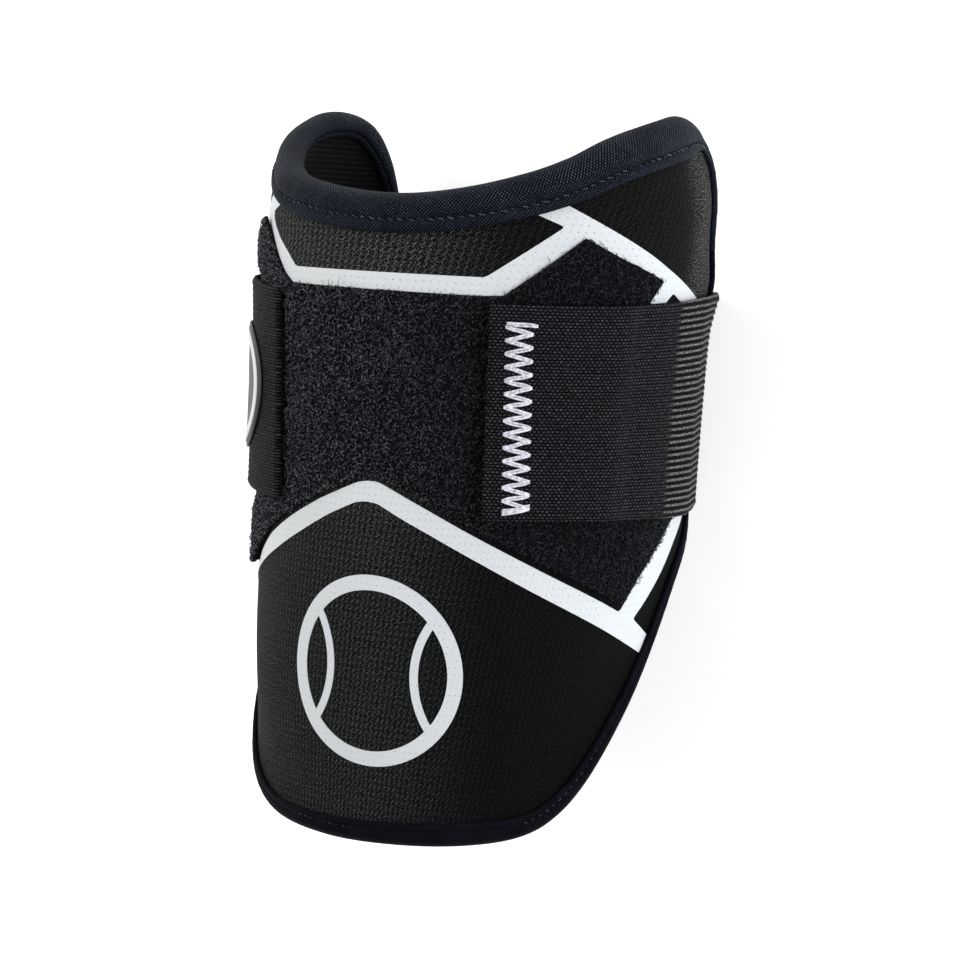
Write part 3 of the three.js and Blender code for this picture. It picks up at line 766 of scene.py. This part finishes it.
def inside(shape, spots):
    """Which places lie inside an outline."""
    shape = np.asarray(shape, float)
    crossings = np.zeros(len(spots), int)
    for (x1, y1), (x2, y2) in zip(shape, np.roll(shape, -1, axis=0)):
        if y1 == y2:
            continue
        spans = (spots[:, 1] >= min(y1, y2)) & (spots[:, 1] < max(y1, y2))
        crossings += spans & (spots[:, 0] < x1 + (spots[:, 1] - y1) * (x2 - x1) / (y2 - y1))
    return crossings % 2 == 1


strap_height, strap_width = 101.0, 49.4
strap_low, strap_top = strap_height - strap_width / 2, strap_height + strap_width / 2
chance = np.random.default_rng(7)


def loop_paths(number, rings, length, height, bend):
    """Arched, curling paths of loose yarn, scattered over the part of the patch that shows."""
    tries = chance.uniform((-90, 54), (90, 144), (number * 4, 2))
    tries = tries[inside(patch_outline, tries)]
    hidden = (np.abs(tries[:, 0]) > 31) & (tries[:, 1] > strap_low + 1.5) & (tries[:, 1] < strap_top - 1.5)
    starts = tries[~hidden][:number]
    count = len(starts)
    turn = chance.uniform(0, 2 * math.pi, count)[:, None]
    curl = chance.normal(0, bend, count)[:, None]
    reach = (length * chance.uniform(0.6, 1.4, count))[:, None]
    rise = (height * chance.uniform(0.4, 1.3, count))[:, None]
    share = np.linspace(0, 1, rings)[None]
    heading = turn + curl * (share - 0.5)
    steps_x = np.cumsum(np.cos(heading), axis=1) * reach / rings
    steps_y = np.cumsum(np.sin(heading), axis=1) * reach / rings
    spots = np.stack([starts[:, :1] + steps_x - steps_x.mean(1)[:, None],
                      starts[:, 1:] + steps_y - steps_y.mean(1)[:, None]], -1)
    base = (outer_face(edge_distance(starts)) + patch_rise(starts))[:, None] + loop_foot
    return with_upwards(spots, base + rise * np.sin(math.pi * share)**0.8)


for number in range(2):
    paths, upwards = loop_paths(number=9200, rings=4, length=1.6, height=0.7, bend=1.6)
    pile = threads(f"loop_pile_{number + 1}", paths, 0.085, upwards, 3, loop_yarn)
    in_place(pile, "loop_pile")
paths, upwards = loop_paths(number=800, rings=9, length=3.8, height=0.95, bend=3.0)
loose_loops = threads("loose_loops", paths, 0.075, upwards, 4, loop_yarn)
in_place(loose_loops, "loop_pile")

# Elastic strap. One wide woven elastic band runs from the front round both sides and straight
# across the open back. Its ends lie on the loop patch, held by their hook tabs, and from there
# on it is stretched, so that its pale ribs open up. Their bright tops there are partly the ribs'
# own pale yarn and partly a painted highlight of the light from the right.
strap_thickness, strap_rise = 1.5, 1.4
strap_ends, strap_slants = {-1: 27.5, 1: 28.0}, {-1: 2.1, 1: -1.0}
strap_leaves, strap_corner, strap_behind = 111.0, 6.0, 1.6
over_tabs, over_patch, at_side = {-1: 2.2, 1: 3.1}, 1.2, 0.3
tab_past, patch_past, easing = 28.0, 90.0, 9.0
strap_spread, left_spread, right_flare = 0.07, 0.045, 0.5
rib_pitch, held = 1.45, 51.0
bend_points, back_points = 13, 15
strap_back = panel_point(panel_wrap + 1.5, strap_height, 0)[2] - strap_behind


def half_route(side, up, into):
    """One half of the strap's way at a height, from its front end to the middle of the back."""
    end = strap_ends[side] + strap_slants[side] * 2 * (up - strap_height) / strap_width
    shares = np.linspace(0, 1, 71)
    around = end + (strap_leaves - end) * shares
    past_tab = eased(around, strap_ends[side] + tab_past, strap_ends[side] + tab_past + easing)
    past_patch = eased(around, patch_past, patch_past + easing)
    out = over_tabs[side] + (over_patch - over_tabs[side]) * past_tab
    out = out + (at_side - out) * past_patch + into
    spread = strap_spread * eased(around, 45, 108) * (up - strap_height)
    if side < 0:
        spread = spread + left_spread * eased(around, 31, 52) * max(up - strap_height, 0)
    else:
        out = out + right_flare * eased(around, 88, 106) * eased(up - strap_height, 15, strap_width / 2)
    front = panel_point(around, up + spread + strap_rise * shares, out)
    leaving = front[-1]
    direction = leaving - front[-2]
    direction[1] = 0
    direction /= np.linalg.norm(direction)
    level, radius = strap_back - into, strap_corner + into
    corner = leaving + direction * (level - leaving[2]) / direction[2]
    half_turn = math.acos(min(max(-direction[0], -1), 1)) / 2
    centre_x, centre_z = corner[0] - radius * math.tan(half_turn), level + radius
    turns = math.pi / 2 - 2 * half_turn * (1 - np.linspace(0, 1, bend_points))
    bend = np.stack([centre_x + radius * np.cos(turns), np.full(bend_points, corner[1]),
                     centre_z - radius * np.sin(turns)], -1)
    back_x = np.linspace(centre_x, frame_shift[0], back_points + 1)[1:]
    back = np.stack([back_x, np.full(back_points, corner[1]), np.full(back_points, level)], -1)
    return np.concatenate([front, bend, back])


def mirror_x(points):
    return np.stack([2 * frame_shift[0] - points[:, 0], points[:, 1], points[:, 2]], -1)


def strap_route(up, into):
    left = mirror_x(half_route(-1, up, into))
    right = half_route(1, up, into)[:-1]
    return np.concatenate([left, right[::-1]])[::-1]


strap_rows, coarse_rows = 211, 13
coarse_ups = np.linspace(strap_low, strap_top, coarse_rows)
fine_share = np.linspace(0, coarse_rows - 1, strap_rows)
from_row = np.minimum(fine_share.astype(int), coarse_rows - 2)
to_next = (fine_share - from_row)[None, :, None]


def fine_rows(into):
    routes = np.stack([strap_route(up, into) for up in coarse_ups], 1)
    return routes[:, from_row] * (1 - to_next) + routes[:, from_row + 1] * to_next


strap_inside = fine_rows(0.0)
strap_outward = fine_rows(1.0) - strap_inside
along_strap = run_along(strap_inside[:, strap_rows // 2])
across_strap = np.linspace(0, strap_width, strap_rows)
from_selvedge = np.minimum(across_strap, strap_width - across_strap)[None]
strap_length = along_strap[-1]
past_one_end = eased(along_strap, held - 2, held + 2)
past_other_end = eased(strap_length - along_strap, held - 2, held + 2)
stretched = (past_one_end * past_other_end)[:, None]
woven_rise, open_rise, bead_rise, fray = 0.05, 0.11, 0.12, 0.12
rib_height = np.cos(2 * math.pi * across_strap / rib_pitch)[None] * (woven_rise + open_rise * stretched)
rounding = np.exp(-(from_selvedge / 0.5)**2)
bead = bead_rise * np.exp(-((from_selvedge - 1.0) / 0.6)**2)
strap_out = strap_thickness - 0.1 - 0.5 * rounding + bead + rib_height * (1 - rounding)
strap_in = 0.35 * rounding
end_fray = chance.normal(0, fray, strap_rows)[:, None]
strap_outer = strap_inside + strap_outward * strap_out[..., None]
strap_inner = strap_inside + strap_outward * strap_in[..., None]
for grid in (strap_outer, strap_inner):
    grid[0] += (grid[1] - grid[0]) * end_fray
    grid[-1] += (grid[-2] - grid[-1]) * end_fray

woven_grid, given, result = new_group("woven_grid", [
    ("Place", "NodeSocketVector"), ("Across", "NodeSocketFloat"), ("Up", "NodeSocketFloat")], ["Height"])
tree = woven_grid
parts = split_place(tree, given["Place"])
row = calc(tree, "FLOOR", calc(tree, "DIVIDE", parts[1], given["Up"]))
odd_row = calc(tree, "FRACT", calc(tree, "DIVIDE", row, 2.0))
moved = calc(tree, "ADD", parts[0], calc(tree, "MULTIPLY", odd_row, given["Across"]))
turn_x = calc(tree, "MULTIPLY", moved, calc(tree, "DIVIDE", math.pi, given["Across"]))
turn_y = calc(tree, "MULTIPLY", parts[1], calc(tree, "DIVIDE", math.pi, given["Up"]))
size_x = calc(tree, "ABSOLUTE", calc(tree, "SINE", turn_x))
size_y = calc(tree, "ABSOLUTE", calc(tree, "SINE", turn_y))
tree.links.new(calc(tree, "MULTIPLY", size_x, size_y), result["Height"])

elastic_web, tree, shader = new_finish("elastic_web", 0.7, 0.04)
place = cloth_place(tree)
height = use_group(tree, woven_grid, place, 1.05, 0.725)["Height"]
parts = split_place(tree, place)
from_end = calc(tree, "MINIMUM", parts[0], calc(tree, "SUBTRACT", strap_length, parts[0]))
ragged = calc(tree, "MULTIPLY", noise(tree, place, 0.9), 3.0)
opened = rescale(tree, calc(tree, "ADD", from_end, ragged), held, held + 3.0)
rib_wave = calc(tree, "COSINE", calc(tree, "MULTIPLY", parts[1], 2 * math.pi / rib_pitch))
rib_top = rescale(tree, rib_wave, -0.1, 0.8)
fibre = noise(tree, place, 3.2, 3.0)
speck = rescale(tree, fibre, 0.42, 0.62, 0.2, 1.0)
# Painted shade: the woven ground is darker in the valleys between the ribs.
valley_shade = rescale(tree, rib_wave, -1.0, -0.5, 0.3, 1.0)
uneven = rescale(tree, noise(tree, drawn_out(tree, place, 0.5, 1.6), 1.3), 0.38, 0.62, 0.4, 1.0)
woven_lit = calc(tree, "MULTIPLY", rescale(tree, height, 0.15, 0.8), speck)
woven_lit = calc(tree, "MULTIPLY", calc(tree, "MULTIPLY", woven_lit, valley_shade), uneven)
ground_tone = blend_colours(tree, woven_lit, (0.0012, 0.0012, 0.0017), (0.086, 0.084, 0.100))
# Painted highlight: where the strap is stretched, the rib tops are coloured pale as where the light from
# the right catches them, broken into painted glints; partly the ribs' own pale yarn.
slanting = calc(tree, "ADD", parts[0], parts[1])
twisted = calc(tree, "SINE", calc(tree, "MULTIPLY", slanting, 2 * math.pi / 0.8))
rope = calc(tree, "MULTIPLY", rescale(tree, twisted, -0.5, 0.8, 0.1, 1.0), rib_top)
rib_glint = rescale(tree, noise(tree, place, 2.8), 0.42, 0.62, 0.12, 1.0)
rope_lit = calc(tree, "MULTIPLY", rope, rib_glint)
open_lit_tone = blend_colours(tree, rope_lit, (0.0015, 0.0015, 0.002), (0.50, 0.465, 0.46))
colour_surface(tree, shader, opened, ground_tone, open_lit_tone)
raise_surface(tree, shader, calc(tree, "ADD", height, calc(tree, "MULTIPLY", fibre, 0.5)), 0.00025, 0.8)

strap_cloth = np.stack(np.broadcast_arrays(along_strap[:, None], across_strap[None]), -1)
strap = two_faced("strap_web", strap_outer, strap_inner, elastic_web, strap_cloth.reshape(-1, 2))
in_place(strap, "elastic_web", "strap")

# Zigzag seam. Thick white thread, two strands side by side, sews the strap's right end to its
# hook tab, with a few more stitches where the seam starts and where it ends.
zigzag_thread, tree, shader = new_finish("zigzag_thread", 0.45)
place = object_place(tree)
twist = rescale(tree, noise(tree, place, 1500), 0.35, 0.65)
colour_surface(tree, shader, twist, (0.46, 0.44, 0.51), (0.84, 0.81, 0.88))
raise_surface(tree, shader, noise(tree, place, 1800), 0.0002, 0.7)
zig_pitch, zig_count, zig_top = 3.03, 14, 120.6
zig_left, zig_right = (30.6, 33.0), (36.5, 38.9)
strand_apart, strand_bow, thread_lift, thread_arch = 0.19, 0.08, 0.14, 0.22
turns = np.arange(2 * zig_count + 1)
zig_ups = zig_top - turns * zig_pitch / 2
zig_share = (zig_top - zig_ups) / (zig_pitch * zig_count)
left_side = zig_left[0] + (zig_left[1] - zig_left[0]) * zig_share
right_side = zig_right[0] + (zig_right[1] - zig_right[0]) * zig_share
zig_arounds = np.where(turns % 2 == 0, left_side, right_side)
corners = np.stack([zig_arounds, zig_ups], -1)
extra = [((30.8, 121.4), (37.4, 121.0)), ((33.0, 79.0), (38.6, 79.6)), ((33.2, 78.2), (38.8, 80.4))]
legs = [(corners[turn], corners[turn + 1]) for turn in range(2 * zig_count)] + extra
strands = []
for start, end in legs:
    start, end = np.asarray(start, float), np.asarray(end, float)
    share = np.linspace(0, 1, 9)
    line = start + (end - start) * share[:, None]
    arch = np.sin(math.pi * share)
    sway = chance.normal(0, 0.07, 2)[0] * np.sin(2 * math.pi * share)
    for strand in (-1, 1):
        shifted = line.copy()
        shifted[:, 1] += strand * strand_apart + strand_bow * arch * strand + sway
        lift = over_tabs[1] + strap_thickness + thread_lift + thread_arch * arch**0.5
        strands.append(np.concatenate([shifted, lift[:, None]], 1))
strands = np.array(strands)
paths, upwards = with_upwards(strands, strands[..., 2])
zigzag = threads("zigzag_seam", paths, 0.26, upwards, 8, zigzag_thread, 0.9)
in_place(zigzag, "elastic_web")

# Hook tabs. Stiff strips of tiny nylon hooks sewn under the strap's two ends. They bite into
# the loop patch, and only their borders can be seen.
tab_inset, tab_length, tab_border, tab_foot, into_strap = 3.4, 23, 1.2, 0.95, 0.1
hook_tape, tree, shader = new_finish("hook_tape", 0.6)
hooks = tree.nodes.new("ShaderNodeTexVoronoi")
hooks.inputs["Scale"].default_value = 900
feed(tree, object_place(tree), hooks.inputs["Vector"])
hook_share = hooks.outputs["Distance"]
colour_surface(tree, shader, hook_share, (0.016, 0.016, 0.018), (0.004, 0.004, 0.005))
raise_surface(tree, shader, hook_share, 0.0004, 0.8)
for side, node in ((1, "hook_tab_right"), (-1, "hook_tab_left")):
    tab_shares = np.linspace(0, tab_length, 24)[::side, None]
    tab_arounds = side * (strap_ends[side] + tab_inset + tab_shares)
    tab_ups = np.linspace(strap_low + tab_border, strap_top - tab_border, 25)[None]
    tab_outer = panel_point(tab_arounds, tab_ups, over_tabs[side] + into_strap)
    tab_inner = panel_point(tab_arounds, tab_ups, tab_foot)
    tab_places = np.stack(np.broadcast_arrays(tab_arounds, tab_ups), -1).reshape(-1, 2)
    tab = two_faced(node + "_tape", tab_outer, tab_inner, hook_tape, tab_places)
    in_place(tab, "hook_tape", node)

# Strap badge. A moulded rubber oval with a white raised border, glued flat to the strap's left
# end, so that it bends with the band.
badge_middle, badge_half_width, badge_half_height, badge_sides = -53.5, 18.0, 15.5, 72
badge_rubber, tree, shader = new_finish("badge_rubber", 0.5)
from_centre = split_place(tree, cloth_place(tree))[0]
band_in, band_out = rescale(tree, from_centre, 0.76, 0.78), rescale(tree, from_centre, 0.90, 0.92)
border = calc(tree, "SUBTRACT", band_in, band_out)
colour_surface(tree, shader, border, (0.016, 0.017, 0.020), (0.66, 0.68, 0.71))
raise_surface(tree, shader, noise(tree, object_place(tree), 900), 0.0001, 0.5)
ring_shares = [0.3, 0.6, 0.72, 0.755, 0.78, 0.84, 0.90, 0.925, 0.95, 0.985, 1.0, 1.0]
ring_lifts = [0.55, 0.55, 0.55, 0.58, 0.85, 0.9, 0.85, 0.58, 0.55, 0.45, 0.25, 0.0]
badge_turns = np.linspace(0, 2 * math.pi, badge_sides + 1)[:-1]
badge_face = over_tabs[-1] + strap_thickness + 0.1
points, places = [], []
for share, lift in zip(ring_shares, ring_lifts):
    around = badge_middle + share * badge_half_width * np.cos(badge_turns)
    up = strap_height + share * badge_half_height * np.sin(badge_turns)
    points.append(panel_point(around, up, badge_face + lift))
    places.append(np.stack([np.full(badge_sides, share), badge_turns], -1))
points.append(panel_point(badge_middle, strap_height, badge_face + ring_lifts[0])[None])
places.append([(0, 0)])
index = np.arange(len(ring_shares) * badge_sides).reshape(-1, badge_sides)
beside = np.roll(index, -1, axis=1)
faces = np.stack([index[:-1], index[1:], beside[1:], beside[:-1]], -1).reshape(-1, 4).tolist()
faces += [[index.size, int(a), int(b)] for a, b in zip(index[0], beside[0])]
faces.append(index[-1][::-1].tolist())
strap_badge = new_piece(
    "strap_badge", np.concatenate(points), faces, badge_rubber, np.concatenate(places))
in_place(strap_badge, "emblem_rubber", "strap_emblem")

# Floor and light. A plain pale floor, a large soft light from the upper left of the picture,
# and a weaker one from its right that catches the strap's ribs.
floor_finish, tree, shader = new_finish("floor", 0.9)
shader.inputs["Base Color"].default_value = (0.93, 0.93, 0.93, 1)
shader.inputs["Emission Color"].default_value = (1, 1, 1, 1)
shader.inputs["Emission Strength"].default_value = 0.55
bpy.ops.object.select_all(action="DESELECT")
bpy.ops.mesh.primitive_plane_add(size=6, location=(0, 0, 0))
floor = bpy.context.object
floor.name = "floor"
floor.data.materials.append(floor_finish)


def soft_light(name, place, aim, size, power, colour):
    data = bpy.data.lights.new(name, "AREA")
    data.shape = "DISK"
    data.size = size
    data.energy = power
    data.color = colour
    lamp = bpy.data.objects.new(name, data)
    scene.collection.objects.link(lamp)
    lamp.location = place
    lamp.rotation_euler = (Vector(aim) - Vector(place)).to_track_quat("-Z", "Y").to_euler()


soft_light("key", (-0.9, 0.6, 1.15), (0, 0, 0.04), 1.6, 19, (1.0, 0.99, 0.97))
soft_light("rim", (1.15, 0.1, 0.4), (0, 0, 0.04), 0.6, 9, (0.95, 0.97, 1.0))
world = bpy.data.worlds.new("studio")
world.use_nodes = True
world.node_tree.nodes["Background"].inputs["Color"].default_value = (1, 1, 1, 1)
world.node_tree.nodes["Background"].inputs["Strength"].default_value = 0.4
scene.world = world
scene.view_settings.view_transform = "Standard"
